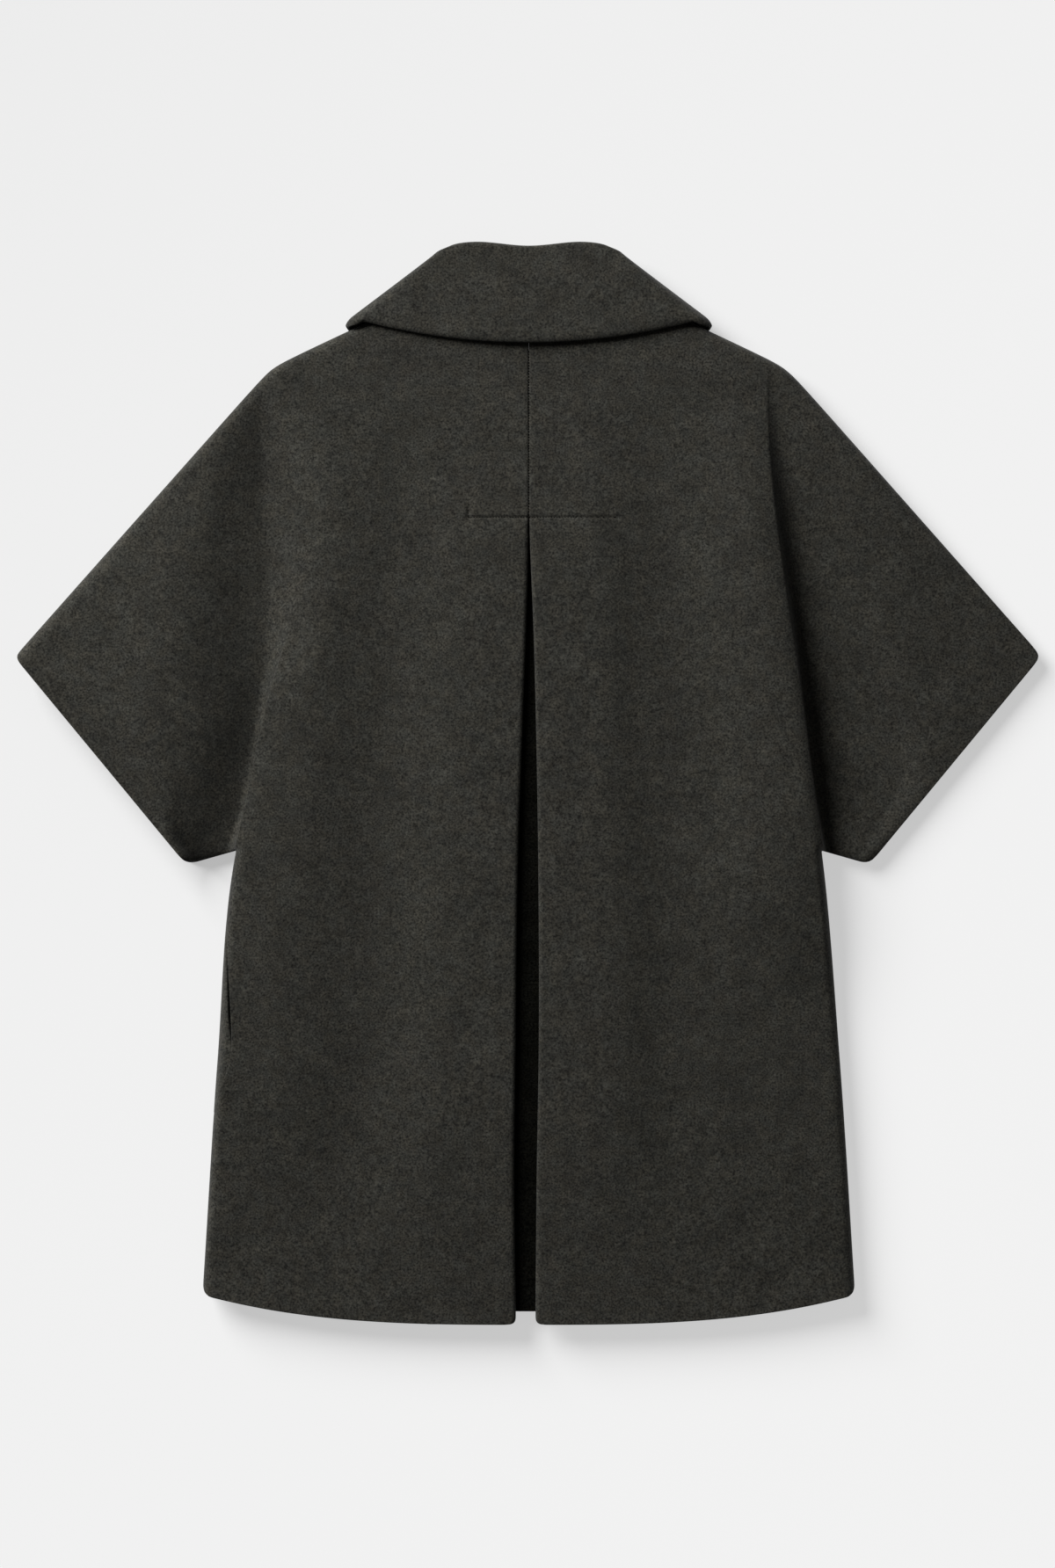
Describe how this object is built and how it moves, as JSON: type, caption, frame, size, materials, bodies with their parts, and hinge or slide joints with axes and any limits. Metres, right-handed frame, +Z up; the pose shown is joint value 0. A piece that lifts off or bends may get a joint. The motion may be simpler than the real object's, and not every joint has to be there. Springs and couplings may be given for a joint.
{
  "type": "short coat",
  "caption": "Short wide-sleeved coat of thick felted wool laid face down, with a folded collar, a centre-back seam and an inverted pleat open to the hem.",
  "frame": {"origin": "on the surface that the coat lies on, under the middle of its outline", "axes": "+Y from the hem to the collar, +Z up from the surface towards the coat's back, wearer's left at -X"},
  "size_m": [0.814, 0.8624, 0.0335],
  "materials": {
    "coat_wool": "matt felted wool with a fine nap",
    "collar_wool": "matt felted wool with a fine nap",
    "underlay_wool": "matt felted wool",
    "pocket_wool": "matt felted wool"
  },
  "bodies": {
    "root": {"back_left": "coat_wool", "back_right": "coat_wool", "pleat_underlay": "underlay_wool", "front_left": "coat_wool", "front_right": "coat_wool", "collar": "collar_wool", "pocket_left": "pocket_wool"}
  },
  "joints": []
}
